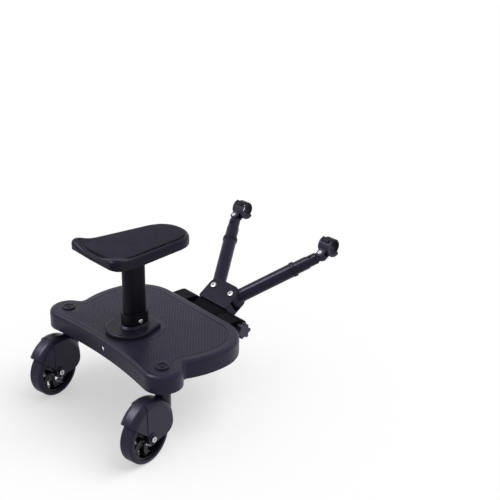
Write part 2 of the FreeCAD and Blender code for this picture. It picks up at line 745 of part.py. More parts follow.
def kingpin():
    start = neck_top() - KINGPIN_DEPTH
    length = nut_seat() + KINGPIN_NUT_H - WHEEL_R - start
    return rod(Vector(0, TRAIL, start), Z_AXIS, KINGPIN_R, length)


def kingpin_nut():
    start = Vector(0, TRAIL, nut_seat() - WHEEL_R)
    nut = hexagon(start, Z_AXIS, KINGPIN_NUT_R, KINGPIN_NUT_H)
    return nut.cut(rod(start, Z_AXIS, KINGPIN_R, KINGPIN_NUT_H))


def swivel_bush(s):
    x = s * CASTER_TRACK / 2
    floor = DECK_TOP - DECK_H
    body = rod(Vector(x, 0, floor), Z_AXIS, KINGPIN_R + RUN + BUSH_WALL, DECK_H - NUT_POCKET_H)
    flange = rod(Vector(x, 0, floor - BUSH_FLANGE_H), Z_AXIS, BUSH_FLANGE_R, BUSH_FLANGE_H)
    return fuse([body, flange]).cut(rod(Vector(x, 0, 0), Z_AXIS, KINGPIN_R + RUN, DECK_TOP))


def caster_cap(s):
    """Round cap over the swivel nut, with a dished face and a raised centre."""
    base = Vector(s * CASTER_TRACK / 2, 0, DECK_TOP)
    dish = CAP_H * 0.4
    disc = rod(base, Z_AXIS, CAP_R, CAP_H)
    disc = disc.makeFillet(CAP_H * 0.4, level_edges(disc, DECK_TOP + CAP_H))
    ring = pipe(base + Z_AXIS * (CAP_H - dish), Z_AXIS, CAP_R * 0.68, CAP_R * 0.28, dish)
    lip = pipe(base - Z_AXIS * CAP_LIP, Z_AXIS, NUT_POCKET_R, NUT_POCKET_R - CAP_LIP, CAP_LIP)
    return fuse([disc, lip]).cut(ring)


def axle_bolt():
    half = leg_outer()
    head = hexagon(Vector(half, 0, 0), X_AXIS, AXLE_HEAD_R, AXLE_HEAD_H)
    dome = wheel_cone(half + AXLE_HEAD_H, AXLE_HEAD_R)
    head = head.common(dome)
    shank = rod(Vector(-half - NUT_H, 0, 0), X_AXIS, AXLE_R, 2 * half + NUT_H)
    return fuse([head, shank])


def wheel_cone(top, radius):
    """Turned blank that rounds off the corners of a bolt head."""
    rim = radius * 0.87
    points = [Vector(0, 0, 0), Vector(0, 0, radius), Vector(top - radius * 0.12, 0, radius),
              Vector(top, 0, rim), Vector(top, 0, 0)]
    return turned(points, Vector(), X_AXIS)


def axle_nut():
    start = Vector(-leg_outer() - NUT_H, 0, 0)
    return hexagon(start, X_AXIS, AXLE_HEAD_R, NUT_H).cut(rod(start, X_AXIS, AXLE_R, NUT_H))


def hub_half():
    return fork_room() - GAP


def wheel_hub():
    """Spoked wheel: rim, hub barrel and curved spokes."""
    rim = pipe(Vector(-RIM_W / 2, 0, 0), X_AXIS, RIM_R, RIM_R - RIM_WALL, RIM_W)
    barrel = rod(Vector(-hub_half(), 0, 0), X_AXIS, HUB_R, 2 * hub_half())
    spokes = []
    for i in range(SPOKE_COUNT):
        spokes += [spoke(360.0 * i / SPOKE_COUNT, SPOKE_SWEEP),
                   spoke(360.0 * i / SPOKE_COUNT, SPOKE_SWEEP - SPOKE_FORK)]
    wheel = fuse([rim, barrel] + spokes)
    holes = [rod(Vector(-hub_half(), 0, 0), X_AXIS, AXLE_R + 2 * RUN, 2 * hub_half())]
    for start in (-hub_half(), hub_half() - BEARING_W):
        holes.append(rod(Vector(start, 0, 0), X_AXIS, BEARING_R, BEARING_W))
    return cut(wheel, holes)


def spoke(angle, turned_by):
    """One swept branch of a spoke, thicker towards the rim, from inside the hub to inside the rim."""
    inner = HUB_R - SPOKE_THICK / 2
    outer = RIM_R - RIM_WALL / 2
    sweep = math.radians(turned_by)
    root = SPOKE_THICK / inner / 2
    tip = SPOKE_THICK / outer / 2

    def at(radius, turn):
        a = math.radians(angle) + turn
        return Vector(0, radius * math.cos(a), radius * math.sin(a))

    middle = (inner + outer) / 2
    bend = sweep * 0.26
    lead = Part.Arc(at(inner, root), at(middle, bend + root), at(outer, sweep + tip * 2)).toShape()
    trail = Part.Arc(at(inner, -root), at(middle, bend - tip), at(outer, sweep - tip * 2)).toShape()
    ends = [Part.makeLine(at(inner, -root), at(inner, root)),
            Part.makeLine(at(outer, sweep - tip * 2), at(outer, sweep + tip * 2))]
    wire = Part.Wire(Part.__sortEdges__([lead, trail] + ends))
    wire.translate(X_AXIS * (-SPOKE_W / 2))
    return prism(wire, X_AXIS * SPOKE_W)


def wheel_bearings():
    rings = []
    for start in (-hub_half(), hub_half() - BEARING_W):
        rings.append(pipe(Vector(start, 0, 0), X_AXIS, BEARING_R, AXLE_R + RUN, BEARING_W))
    return Part.makeCompound(rings)


def tyre():
    disc = wheel_disc(WHEEL_R, TYRE_W / 2, TYRE_SHOULDER)
    return disc.cut(rod(Vector(-TYRE_W, 0, 0), X_AXIS, RIM_R, 2 * TYRE_W))


# Hitch: X across, Y along the sloping arms and Z square to them, from the hitch rod

def hitch_place():
    return Placement(Vector(0, ROD_Y, ROD_Z), Rotation(X_AXIS, PITCH))


def hinge_block():
    """Barrel round the hitch rod with a rear block that closes the channel."""
    barrel = rod(Vector(-PLATE_HALF, 0, 0), X_AXIS, BARREL_R, 2 * PLATE_HALF)
    tail = [(0, 0, BARREL_R), (PLATE_BACK - STEEL, 0, CHANNEL_HALF - STEEL)]
    web = side_prism(hull(tail), PLATE_HALF)
    web = web.common(box(-PLATE_HALF, PLATE_HALF, -BARREL_R, PLATE_BACK, -CHANNEL_HALF, CHANNEL_HALF))
    block = fuse([barrel, web])
    bore = rod(Vector(-PLATE_HALF, 0, 0), X_AXIS, ROD_R + RUN, 2 * PLATE_HALF)
    bottom = PLATE_BACK - SCREW_BITE
    holes = [rod(Vector(x, bottom, 0), Y_AXIS, SCREW_R, SCREW_BITE) for x in channel_screw_places()]
    return cut(block, [bore] + holes)


def channel_screw_places():
    return [-PLATE_HALF * 0.6, PLATE_HALF * 0.6]


def hinge_channel():
    """Folded steel channel: two plates that hold the arm pivots, with a web and short cheeks between them."""
    front = PLATE_BACK + PLATE_LEN
    corner = PLATE_CORNER
    rear = STEEL
    plan = [(-PLATE_HALF + rear, PLATE_BACK + rear, rear), (PLATE_HALF - rear, PLATE_BACK + rear, rear),
            (PLATE_HALF - corner, front - corner, corner), (-PLATE_HALF + corner, front - corner, corner)]
    height = CHANNEL_HALF + STEEL
    whole = prism(hull(plan, -height), Z_AXIS * (2 * height))
    inside = PLATE_HALF - STEEL
    room = box(-inside, inside, PLATE_BACK + STEEL, front, -CHANNEL_HALF, CHANNEL_HALF)
    mouth = box(-PLATE_HALF, PLATE_HALF, PLATE_BACK + CHEEK_LEN, front, -CHANNEL_HALF, CHANNEL_HALF)
    channel = cut(whole, [room, mouth])
    holes = [rod(Vector(s * PIVOT_X, PIVOT_U, -height), Z_AXIS, PIVOT_BOLT_R, 2 * height) for s in (-1, 1)]
    holes += [rod(Vector(x, PLATE_BACK, 0), Y_AXIS, SCREW_R, STEEL) for x in channel_screw_places()]
    return cut(channel, holes)


def channel_screws():
    seat_y = PLATE_BACK + STEEL
    length = STEEL + SCREW_BITE
    return Part.makeCompound([
        screw(Vector(x, seat_y, 0), -Y_AXIS, SCREW_R, length, SCREW_HEAD_R, SCREW_HEAD_H)
        for x in channel_screw_places()
    ])


def pivot_bolts():
    height = CHANNEL_HALF + STEEL
    bolts = []
    for s in (-1, 1):
        seat = Vector(s * PIVOT_X, PIVOT_U, height)
        bolts.append(screw(seat, -Z_AXIS, PIVOT_BOLT_R, 2 * height + NUT_H, PIVOT_HEAD_R, PIVOT_HEAD_H))
    return Part.makeCompound(bolts)


def pivot_nuts():
    nuts = []
    for s in (-1, 1):
        start = Vector(s * PIVOT_X, PIVOT_U, -CHANNEL_HALF - STEEL - NUT_H)
        nut = hexagon(start, Z_AXIS, PIVOT_HEAD_R, NUT_H)
        nuts.append(nut.cut(rod(start, Z_AXIS, PIVOT_BOLT_R, NUT_H)))
    return Part.makeCompound(nuts)


def rod_end():
    return LUG_IN + LUG_W


def knob_start():
    return rod_end() + GAP


def hinge_rod():
    """Cross rod through both lugs; its right end carries the clamp knob."""
    left = rod_end() + NUT_H
    right = knob_start() + KNOB_STEM_L + KNOB_L / 2
    return rod(Vector(-left, ROD_Y, ROD_Z), X_AXIS, ROD_R, left + right)


def rod_nut():
    start = Vector(-rod_end() - NUT_H, ROD_Y, ROD_Z)
    return hexagon(start, X_AXIS, ROD_NUT_R, NUT_H).cut(rod(start, X_AXIS, ROD_R, NUT_H))


def clamp_knob():
    """Hand knob with round lobes on a short stem."""
    stem_start = Vector(knob_start(), ROD_Y, ROD_Z)
    head_start = stem_start + X_AXIS * KNOB_STEM_L
    stem = rod(stem_start, X_AXIS, KNOB_STEM_R, KNOB_STEM_L)
    head = [rod(head_start, X_AXIS, KNOB_R, KNOB_L)]
    for i in range(KNOB_LOBES):
        angle = 2 * math.pi * i / KNOB_LOBES
        place = head_start + Vector(0, math.cos(angle), math.sin(angle)) * KNOB_R
        head.append(rod(place, X_AXIS, KNOB_LOBE_R, KNOB_L))
    knob = fuse([stem] + head)
    bore_l = KNOB_STEM_L + KNOB_L / 2 + GAP
    return knob.cut(rod(stem_start, X_AXIS, ROD_R + RUN, bore_l))


# Arms: drawn from the arm pivot, Y along the arm and Z square to the hitch plane

def arm_place(s):
    pivot = Placement(Vector(s * PIVOT_X, PIVOT_U, 0), Rotation(Z_AXIS, -s * SPLAY))
    return hitch_place().multiply(pivot)


def tube_bore():
    return TUBE_R - TUBE_WALL


def slide_r():
    return tube_bore() - RUN


def stub_r():
    return slide_r() - SLIDE_WALL


def arm_knuckle():
    """Pivot eye between the plates with a plug that holds the tube."""
    half = CHANNEL_HALF - GAP
    eye = rod(Vector(0, 0, -half), Z_AXIS, KNUCKLE_R, 2 * half)
    neck = rod(Vector(), Y_AXIS, TUBE_R, TUBE_START)
    plug = rod(Vector(0, TUBE_START, 0), Y_AXIS, tube_bore(), PLUG_L)
    knuckle = fuse([eye, neck, plug])
    return knuckle.cut(rod(Vector(0, 0, -half), Z_AXIS, PIVOT_BOLT_R + RUN, 2 * half))


def arm_tube():
    return pipe(Vector(0, TUBE_START, 0), Y_AXIS, TUBE_R, tube_bore(), TUBE_END - TUBE_START)


def arm_collar():
    """Plastic end ring: grips the tube and overhangs its mouth."""
    start = TUBE_END + COLLAR_LIP - COLLAR_L
    ring = rod(Vector(0, start, 0), Y_AXIS, COLLAR_R, COLLAR_L)
    rims = [e for e in ring.Edges if e.Curve.TypeId == "Part::GeomCircle"]
    ring = ring.makeChamfer((COLLAR_R - TUBE_R) * 0.6, rims)
    seat = rod(Vector(0, start, 0), Y_AXIS, TUBE_R, COLLAR_L - COLLAR_LIP)
    mouth = rod(Vector(0, TUBE_END, 0), Y_AXIS, tube_bore(), COLLAR_LIP)
    return cut(ring, [seat, mouth])


def slide_tube():
    return pipe(Vector(0, SLIDE_START, 0), Y_AXIS, slide_r(), stub_r(), SLIDE_END - SLIDE_START)


def connector_stub():
    """Hollow end stub with the snap button's hole, ending in a flat tongue for the cradle pin."""
    bore = stub_r() - STUB_WALL
    barrel = rod(Vector(0, STUB_START, 0), Y_AXIS, stub_r(), STUB_END - STUB_START)
    blind = rod(Vector(0, STUB_START, 0), Y_AXIS, bore, STUB_END - STUB_START - STUB_WALL)
    tongue = [(0, PIN_AT, TONGUE_R), (0, STUB_END - STUB_WALL, TONGUE_R)]
    tongue = prism(hull(tongue, -TONGUE_HALF), Z_AXIS * (2 * TONGUE_HALF))
    stub = fuse([barrel, tongue])
    holes = [
        blind,
        rod(Vector(0, BUTTON_AT, 0), Z_AXIS, BUTTON_R + RUN, stub_r()),
        rod(Vector(0, PIN_AT, -TONGUE_HALF), Z_AXIS, PIN_R + RUN, 2 * TONGUE_HALF),
    ]
    return cut(stub, holes)


def button_seat():
    """Height at which the button's foot meets the inside of the stub."""
    bore = stub_r() - STUB_WALL
    return math.sqrt(bore ** 2 - BUTTON_FOOT_R ** 2) - GAP


def snap_button():
    top = stub_r() + BUTTON_PROUD
    foot = button_seat() - BUTTON_FOOT
    head = rod(Vector(0, BUTTON_AT, foot), Z_AXIS, BUTTON_R, top - foot)
    head = head.makeFillet(BUTTON_R * 0.6, level_edges(head, top))
    return fuse([head, rod(Vector(0, BUTTON_AT, foot), Z_AXIS, BUTTON_FOOT_R, BUTTON_FOOT)])


def snap_spring():
    """Bent leaf inside the stub that pushes the button out."""
    bore = stub_r() - STUB_WALL
    low = -math.sqrt(bore ** 2 - (LEAF_W / 2) ** 2) + LEAF_THICK
    high = button_seat() - BUTTON_FOOT - GAP
    bend = Vector(0, BUTTON_AT - LEAF_REACH, (low + high) / 2)
    legs = []
    for end in (low, high - LEAF_THICK):
        tip = Vector(0, BUTTON_AT + BUTTON_R, end)
        lift = Z_AXIS * LEAF_THICK
        wire = polygon([bend, tip, tip + lift, bend + lift])
        leg = prism(wire, X_AXIS * LEAF_W)
        leg.translate(X_AXIS * (-LEAF_W / 2))
        legs.append(leg)
    return fuse(legs)


# Cradles: drawn from the cradle pin, X along the towing axle and Y forward in the hitch plane

def cradle_place(s):
    reach = arm_place(s).multVec(Vector(0, PIN_AT, 0))
    return Placement(reach, Rotation(X_AXIS, PITCH))


def ear_inner():
    return TONGUE_HALF + GAP


def axle_cradle():
    """Saddle that seats against the axle, with two ears that take the pin."""
    outer = AXLE_TUBE_R + CRADLE_WALL
    half = CRADLE_W / 2
    ear_top = ear_inner() + EAR_THICK
    body = box(-half, half, CRADLE_REACH - AXLE_TUBE_R - CRADLE_WALL, CRADLE_REACH, -outer, outer)
    body = body.common(rod(Vector(-half, CRADLE_REACH, 0), X_AXIS, outer, CRADLE_W))
    ears = [(0, 0, TONGUE_R), (0, CRADLE_REACH - AXLE_TUBE_R - CRADLE_WALL / 2, TONGUE_R)]
    ear_bar = prism(hull(ears, -ear_top), Z_AXIS * (2 * ear_top))
    slot = box(-half, half, -TONGUE_R, TONGUE_R + GAP, -ear_inner(), ear_inner())
    cradle = fuse([body, ear_bar])
    holes = [
        slot,
        rod(Vector(-half, CRADLE_REACH, 0), X_AXIS, AXLE_TUBE_R, CRADLE_W),
        rod(Vector(0, 0, -ear_top), Z_AXIS, PIN_R, 2 * ear_top),
    ]
    return cut(cradle, holes)


def cradle_pin():
    ear_top = ear_inner() + EAR_THICK
    shank = rod(Vector(0, 0, -ear_top), Z_AXIS, PIN_R, 2 * ear_top)
    heads = [rod(Vector(0, 0, z), Z_AXIS, PIN_HEAD_R, PIN_HEAD_H) for z in (ear_top, -ear_top - PIN_HEAD_H)]
    return fuse([shank] + heads)


def axle_strap():
    """Rubber strap round the far side of the axle, hooked over both edges of the cradle."""
    half = STRAP_W / 2
    outer = AXLE_TUBE_R + CRADLE_WALL
    centre = Vector(-half, CRADLE_REACH, 0)
    band = pipe(centre, X_AXIS, AXLE_TUBE_R + STRAP_THICK, AXLE_TUBE_R, STRAP_W)
    band = band.common(box(-half, half, CRADLE_REACH, CRADLE_REACH + 2 * outer, -outer, outer))
    tab = outer + STRAP_THICK
    hooks = []
    for s in (-1, 1):
        flat = box(-half, half, CRADLE_REACH, CRADLE_REACH + STRAP_THICK, AXLE_TUBE_R + RUN, tab)
        lip = box(-half, half, CRADLE_REACH - STRAP_HOOK, CRADLE_REACH + STRAP_THICK, outer + RUN, tab)
        hook = fuse([flat, lip])
        hooks.append(hook if s > 0 else hook.mirror(Vector(0, 0, 0), Z_AXIS))
    return fuse([band] + hooks)


# Assembly

def all_parts():
    parts = {
        "deck": deck(),
        "lug_screws": lug_screws(),
        "seat_base": seat_base(),
        "seat_base_screws": seat_base_screws(),
        "seat_post": seat_post(),
        "seat_bolt": seat_bolt(),
        "seat_nut": seat_nut(),
        "seat_shell": seat_shell(),
        "seat_pad": seat_pad(),
        "hinge_rod": hinge_rod(),
        "rod_nut": rod_nut(),
        "clamp_knob": clamp_knob(),
    }
    hitch = hitch_place()
    for make in (hinge_block, hinge_channel, channel_screws, pivot_bolts, pivot_nuts):
        parts[make.__name__] = put(make(), hitch)
    for side, s in caster_sides():
        for make in (hinge_lug, swivel_bush, caster_cap):
            parts[make.__name__ + "_" + side] = make(s)
        for make in (caster_fork, kingpin, kingpin_nut, axle_bolt, axle_nut, wheel_hub, wheel_bearings, tyre):
            parts[make.__name__ + "_" + side] = put(make(), caster_place(s))
        for make in (arm_knuckle, arm_tube, arm_collar, slide_tube, connector_stub, snap_button, snap_spring):
            parts[make.__name__ + "_" + side] = put(make(), arm_place(s))
        for make in (axle_cradle, cradle_pin, axle_strap):
            parts[make.__name__ + "_" + side] = put(make(), cradle_place(s))
    return parts


PARTS = all_parts()
SPAN = Part.makeCompound(list(PARTS.values())).optimalBoundingBox(True, False)
ORIGIN_Y = (SPAN.YMin + SPAN.YMax) / 2

os.makedirs("parts", exist_ok=True)
for name, shape in PARTS.items():
    shape.translate(Y_AXIS * -ORIGIN_Y)
    shape.exportStep("parts/" + name + ".step")
print("nodes", len(PARTS), "origin at y", round(ORIGIN_Y, 3), "size",
      round(SPAN.XLength, 1), round(SPAN.YLength, 1), round(SPAN.ZLength, 1))
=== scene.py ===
"""Looks of a buggy board with a saddle seat: finishes, tread, cushion, fasteners, springs, light, camera."""
import bmesh
import bpy
import json
import math

from collections import namedtuple
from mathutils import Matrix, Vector


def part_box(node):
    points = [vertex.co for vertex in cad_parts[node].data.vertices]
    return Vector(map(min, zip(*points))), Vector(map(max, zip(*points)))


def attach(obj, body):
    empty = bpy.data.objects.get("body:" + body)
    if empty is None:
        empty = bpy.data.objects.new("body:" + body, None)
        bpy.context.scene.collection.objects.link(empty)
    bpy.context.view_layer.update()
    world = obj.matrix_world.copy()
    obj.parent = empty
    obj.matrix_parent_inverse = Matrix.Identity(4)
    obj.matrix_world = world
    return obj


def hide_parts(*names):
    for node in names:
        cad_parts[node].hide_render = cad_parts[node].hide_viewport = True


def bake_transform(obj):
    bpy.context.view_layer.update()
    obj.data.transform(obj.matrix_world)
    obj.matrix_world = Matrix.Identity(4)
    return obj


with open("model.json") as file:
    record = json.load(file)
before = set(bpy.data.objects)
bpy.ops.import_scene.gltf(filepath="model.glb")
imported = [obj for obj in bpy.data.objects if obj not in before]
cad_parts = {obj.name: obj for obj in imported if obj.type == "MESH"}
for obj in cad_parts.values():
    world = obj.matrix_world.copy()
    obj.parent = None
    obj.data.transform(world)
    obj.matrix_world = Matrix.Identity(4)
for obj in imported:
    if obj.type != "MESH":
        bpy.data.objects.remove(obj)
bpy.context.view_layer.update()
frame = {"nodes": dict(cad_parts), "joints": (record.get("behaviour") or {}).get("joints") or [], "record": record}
joints = {joint["name"]: joint for joint in frame["joints"]}
scene = bpy.context.scene

MM = 0.001
UP = Vector((0, 0, 1))
RIGHT = Vector((1, 0, 0))
SIDES = ("left", "right")

# Camera
VIEW_FROM = Vector((1.6747, -1.3176, 1.2686))
VIEW_AT = Vector((-0.0066, 0.0467, 0.2))
LENS_MM = 76.0
SENSOR_MM = 36.0
FRAME_SHIFT = 0.1

# Light
SKY = 0.5
SUN = 1.6
SUN_SPREAD = 50.0         # degrees across the soft top light
SUN_FROM = Vector((0.55, 0.75, 1.6))
SOFTBOX_AT = Vector((-0.8, -1.3, 2.1))
SOFTBOX_SIDE = 1.3
SOFTBOX_WATTS = 66.0      # seen in reflections only
FLOOR_HALF = 12.0
FLOOR_TONE = 0.55
FLOOR_LIFT = 0.49

# Deck plan, measured from the line through both caster swivels
SIDE_R = 204 * MM
SIDE_AHEAD = 125 * MM
CORNER_R = 99 * MM
NOTCH_R = 12 * MM
REAR_MIDDLE = 29.5 * MM
FIELD_INSET = 28 * MM     # tread field inside the border groove
FIELD_REAR = 17 * MM
CAP_CLEAR = 27 * MM
RING_CLEAR = 68 * MM      # smooth ring round the seat base

# Tread studs
STUD_STEP_X = 4.8 * MM
STUD_STEP_Y = 4.0 * MM
STUD_R = 2.6 * MM
STUD_TOP_R = 1.4 * MM
STUD_H = 0.35 * MM
STUD_SIDES = 4

# Seat
SLEEVE_UP = 14.5 * MM     # foot of the base's sleeve above the deck's top
SEAT_BOLT_UP = 24 * MM    # also above the deck's top
PAD_WELD = 0.01 * MM
PAD_VOXEL = 2.4 * MM
PAD_SWELL = 1.4 * MM
PAD_FRAMES = 20
PAD_PRESSURE = 4.0
PAD_STEEP = 0.8           # upward part of the normal where the pad is all side and takes the full painted shade, and where it is all top
PAD_LEVEL = 0.95

# Fasteners; out is the distance from the pivot to the seat of the head
Bolt = namedtuple("Bolt", "head_r head_h shank_r out length")
PIVOT_BOLT = Bolt(7.5 * MM, 4.0 * MM, 4.0 * MM, 19.0 * MM, 44.0 * MM)
AXLE_BOLT = Bolt(7.2 * MM, 6.0 * MM, 4.0 * MM, 22.5 * MM, 51.0 * MM)
SEAT_BOLT = Bolt(5.5 * MM, 3.0 * MM, 3.0 * MM, 21.3 * MM, 48.6 * MM)

# Heads from the seat up: shares of the head's radius and height, and the form of the ring
DOMED_HEAD = ((1.0, 0.0, "round"), (1.0, 0.3, "round"), (0.93, 0.68, "round"), (0.8, 0.92, "round"),
              (0.64, 1.0, "round"), (0.48, 1.0, "hex"), (0.4608, -0.2, "hex"))
HEX_HEAD = ((0.866, 0.0, "round"), (1.0, 0.1, "hex"), (1.0, 0.8, "hex"), (0.83136, 1.0, "round"),
            (0.6928, 1.0, "round"), (0.52, 0.94, "cross"), (0.364, 0.5, "cross"))
CROSS_ARM = 0.3           # half width of a cross recess's arm over its radius
THIN = 0.01               # keeps the ring of a cross finite along its arms

# Finishes
VIOLET_GLOSS = (0.8, 0.75, 1.0, 1.0)    # cast in the gloss of everything but bare metal
DRIFT_SIZE = 45 * MM
DRIFT_DETAIL = 4.0
GRAIN_DETAIL = 2.0
TONE_DRIFT = 0.12
EDGE_R = 0.8 * MM
EDGE_SAMPLES = 4


def srgb(*levels):
    """Linear colour from 8-bit screen levels."""
    return tuple(((v / 255 + 0.055) / 1.055) ** 2.4 for v in levels) + (1.0,)


# Shader helpers

def add_node(tree, kind, **settings):
    """New node, with its sockets or settings given by name."""
    made = tree.nodes.new(kind)
    for name, value in settings.items():
        if name in made.inputs:
            made.inputs[name].default_value = value
        else:
            setattr(made, name, value)
    return made


def noise(tree, grain, detail):
    """Noise over the object's own coordinates, with features of a given size in metres."""
    coords = add_node(tree, "ShaderNodeTexCoord")
    texture = add_node(tree, "ShaderNodeTexNoise", Scale=1 / grain, Detail=detail)
    tree.links.new(coords.outputs["Object"], texture.inputs["Vector"])
    return texture.outputs["Fac"]


def stretch(tree, value, low, high, start=0.3, end=0.7):
    """Maps a span of values to another range."""
    ramp = add_node(tree, "ShaderNodeMapRange")
    for socket, level in (("From Min", start), ("From Max", end), ("To Min", low), ("To Max", high)):
        ramp.inputs[socket].default_value = level
    tree.links.new(value, ramp.inputs["Value"])
    return ramp.outputs["Result"]


def blend_colours(tree, factor, first, second):
    """Mixes two colours, each fixed or linked."""
    mix = add_node(tree, "ShaderNodeMix", data_type="RGBA")
    sockets = [s for s in mix.inputs if s.type == "RGBA"]
    for socket, colour in zip(sockets, (first, second)):
        if isinstance(colour, tuple):
            socket.default_value = colour
        else:
            tree.links.new(colour, socket)
    tree.links.new(factor, mix.inputs["Factor"])
    return [s for s in mix.outputs if s.type == "RGBA"][0]


def shades(colour):
    """A darker and a lighter shade of a colour."""
    return [tuple(c * (1 + k * TONE_DRIFT) for c in colour[:3]) + (1.0,) for k in (-1, 1)]


def finish(name, colour, roughness, grain, relief, gloss=0.5, metal=0.0):
    """Surface finish: softened edges, fine grain in the relief, slow drift in colour and roughness."""
    material = bpy.data.materials.new(name)
    material.use_nodes = True
    tree = material.node_tree
    bsdf = tree.nodes["Principled BSDF"]
    bsdf.inputs["Specular IOR Level"].default_value = gloss
    bsdf.inputs["Metallic"].default_value = metal
    if not metal:
        bsdf.inputs["Specular Tint"].default_value = VIOLET_GLOSS
    slow = noise(tree, DRIFT_SIZE, DRIFT_DETAIL)
    tone = blend_colours(tree, stretch(tree, slow, 0.0, 1.0), *shades(colour))
    tree.links.new(tone, bsdf.inputs["Base Color"])
    matt = stretch(tree, slow, roughness * (1 - TONE_DRIFT), roughness * (1 + TONE_DRIFT))
    tree.links.new(matt, bsdf.inputs["Roughness"])
    bevel = add_node(tree, "ShaderNodeBevel", samples=EDGE_SAMPLES, Radius=EDGE_R)
    bump = add_node(tree, "ShaderNodeBump", Strength=1.0, Distance=relief)
    tree.links.new(noise(tree, grain, GRAIN_DETAIL), bump.inputs["Height"])
    tree.links.new(bevel.outputs["Normal"], bump.inputs["Normal"])
    tree.links.new(bump.outputs["Normal"], bsdf.inputs["Normal"])
    return material


def upward(tree, kind, output):
    """Z of a vector that a node gives."""
    split = add_node(tree, "ShaderNodeSeparateXYZ")
    tree.links.new(add_node(tree, kind).outputs[output], split.inputs["Vector"])
    return split.outputs["Z"]


def dark_above(material, colour, height):
    """Gives a piece another colour above a height."""
    tree = material.node_tree
    socket = tree.nodes["Principled BSDF"].inputs["Base Color"]
    above = add_node(tree, "ShaderNodeMath", operation="GREATER_THAN")
    above.inputs[1].default_value = height
    tree.links.new(upward(tree, "ShaderNodeTexCoord", "Object"), above.inputs[0])
    tree.links.new(blend_colours(tree, above.outputs[0], socket.links[0].from_socket, colour), socket)


def paint_shaded_sides(material, colour, steep, level):
    """Paints shade on the sides of a piece: another colour than its top, by the slope of its surface."""
    tree = material.node_tree
    socket = tree.nodes["Principled BSDF"].inputs["Base Color"]
    factor = stretch(tree, upward(tree, "ShaderNodeNewGeometry", "Normal"), 0.0, 1.0, steep, level)
    tree.links.new(blend_colours(tree, factor, colour, socket.links[0].from_socket), socket)


deck_low, deck_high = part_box("deck")
post_low, post_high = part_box("seat_post")
post_middle = (post_low + post_high) / 2

CHARCOAL = srgb(34, 32, 49)
BLACK = srgb(11, 11, 16)

# Finishes by slot: name, colour, roughness, size of the grain, height of its relief
FINISHES = {
    "deck_plastic": finish("charcoal_plastic", CHARCOAL, 0.4, 0.5 * MM, 0.03 * MM, gloss=0.22),
    "black_plastic": finish("black_plastic", BLACK, 0.36, 0.8 * MM, 0.015 * MM, gloss=0.18),
    "grey_plastic": finish("grey_plastic", srgb(46, 44, 58), 0.45, 0.7 * MM, 0.03 * MM, gloss=0.3),
    "black_tube": finish("violet_powder_coat", srgb(27, 25, 42), 0.26, 0.9 * MM, 0.03 * MM, gloss=0.2),
    "wheel_plastic": finish("gloss_black_plastic", srgb(9, 9, 12), 0.2, 1.2 * MM, 0.01 * MM, gloss=0.3),
    "tyre_rubber": finish("violet_grey_rubber", srgb(41, 39, 56), 0.5, 0.5 * MM, 0.03 * MM, gloss=0.2),
    "pad_foam": finish("pad_fabric_painted_shade", srgb(33, 32, 41), 0.8, 0.5 * MM, 0.05 * MM, gloss=0.15),
    "strap_rubber": finish("strap_rubber", srgb(16, 16, 20), 0.5, 0.6 * MM, 0.03 * MM, gloss=0.2),
    "zinc_steel": finish("zinc_steel", srgb(205, 205, 210), 0.24, 0.4 * MM, 0.006 * MM, metal=1.0),
}
# Painted shade: the pad's sides go nearly black, in place of the shade on its undercut edge
paint_shaded_sides(FINISHES["pad_foam"], srgb(8, 8, 11), PAD_STEEP, PAD_LEVEL)

# Pieces whose finish differs from their slot's; those with a left and a right one are named without the side
OWN_FINISHES = {
    "caster_fork": finish("fork_plastic", srgb(31, 29, 45), 0.34, 0.5 * MM, 0.02 * MM, gloss=0.26),
    "caster_cap": finish("cap_plastic", srgb(25, 23, 36), 0.4, 0.5 * MM, 0.02 * MM, gloss=0.2),
    "arm_collar": finish("collar_plastic", srgb(19, 18, 29), 0.4, 0.6 * MM, 0.02 * MM, gloss=0.2),
    "arm_knuckle": finish("knuckle_plastic", srgb(24, 22, 36), 0.4, 0.6 * MM, 0.02 * MM, gloss=0.2),
    "hinge_lug": finish("lug_plastic", srgb(12, 11, 18), 0.5, 0.8 * MM, 0.03 * MM, gloss=0.04),
    "hinge_block": finish("block_plastic", srgb(10, 9, 15), 0.5, 0.8 * MM, 0.03 * MM, gloss=0.04),
    "clamp_knob": finish("knob_plastic", srgb(54, 52, 68), 0.4, 0.6 * MM, 0.02 * MM, gloss=0.4),
    "seat_shell": finish("shell_plastic", srgb(20, 18, 31), 0.38, 0.5 * MM, 0.03 * MM, gloss=0.12),
    "seat_post": finish("black_anodised", srgb(12, 12, 19), 0.4, 0.9 * MM, 0.02 * MM, gloss=0.12),
    "seat_base": finish("seat_base_plastic", srgb(23, 22, 33), 0.4, 0.6 * MM, 0.02 * MM, gloss=0.17),
}
dark_above(OWN_FINISHES["seat_base"], BLACK, deck_high.z + SLEEVE_UP)


def paint(node, material):
    piece = frame["nodes"][node]
    if not piece.material_slots:
        piece.data.materials.append(material)
    for slot in piece.material_slots:
        slot.material = material


def paint_nodes():
    """Gives every CAD piece its own finish, or else its slot's."""
    for row in frame["record"]["subparts"]:
        kind = row["node"].removesuffix("_left").removesuffix("_right")
        paint(row["node"], OWN_FINISHES.get(kind, FINISHES[row["material_slot"]]))


# Mesh helpers

def new_piece(name, mesh, material=None):
    piece = bpy.data.objects.new(name, mesh)
    scene.collection.objects.link(piece)
    if material:
        mesh.materials.append(material)
    return piece


def mesh_from(name, fill):
    """Mesh filled by a function that works on a bmesh, with its normals set outwards."""
    work = bmesh.new()
    fill(work)
    bmesh.ops.recalc_face_normals(work, faces=work.faces)
    mesh = bpy.data.meshes.new(name)
    work.to_mesh(mesh)
    work.free()
    return mesh


def settle(piece, smooth=True):
    """Turns a piece with modifiers into a plain mesh."""
    bpy.context.view_layer.update()
    graph = bpy.context.evaluated_depsgraph_get()
    mesh = bpy.data.meshes.new_from_object(piece.evaluated_get(graph))
    piece.modifiers.clear()
    piece.data = mesh
    for face in mesh.polygons:
        face.use_smooth = smooth
    return piece


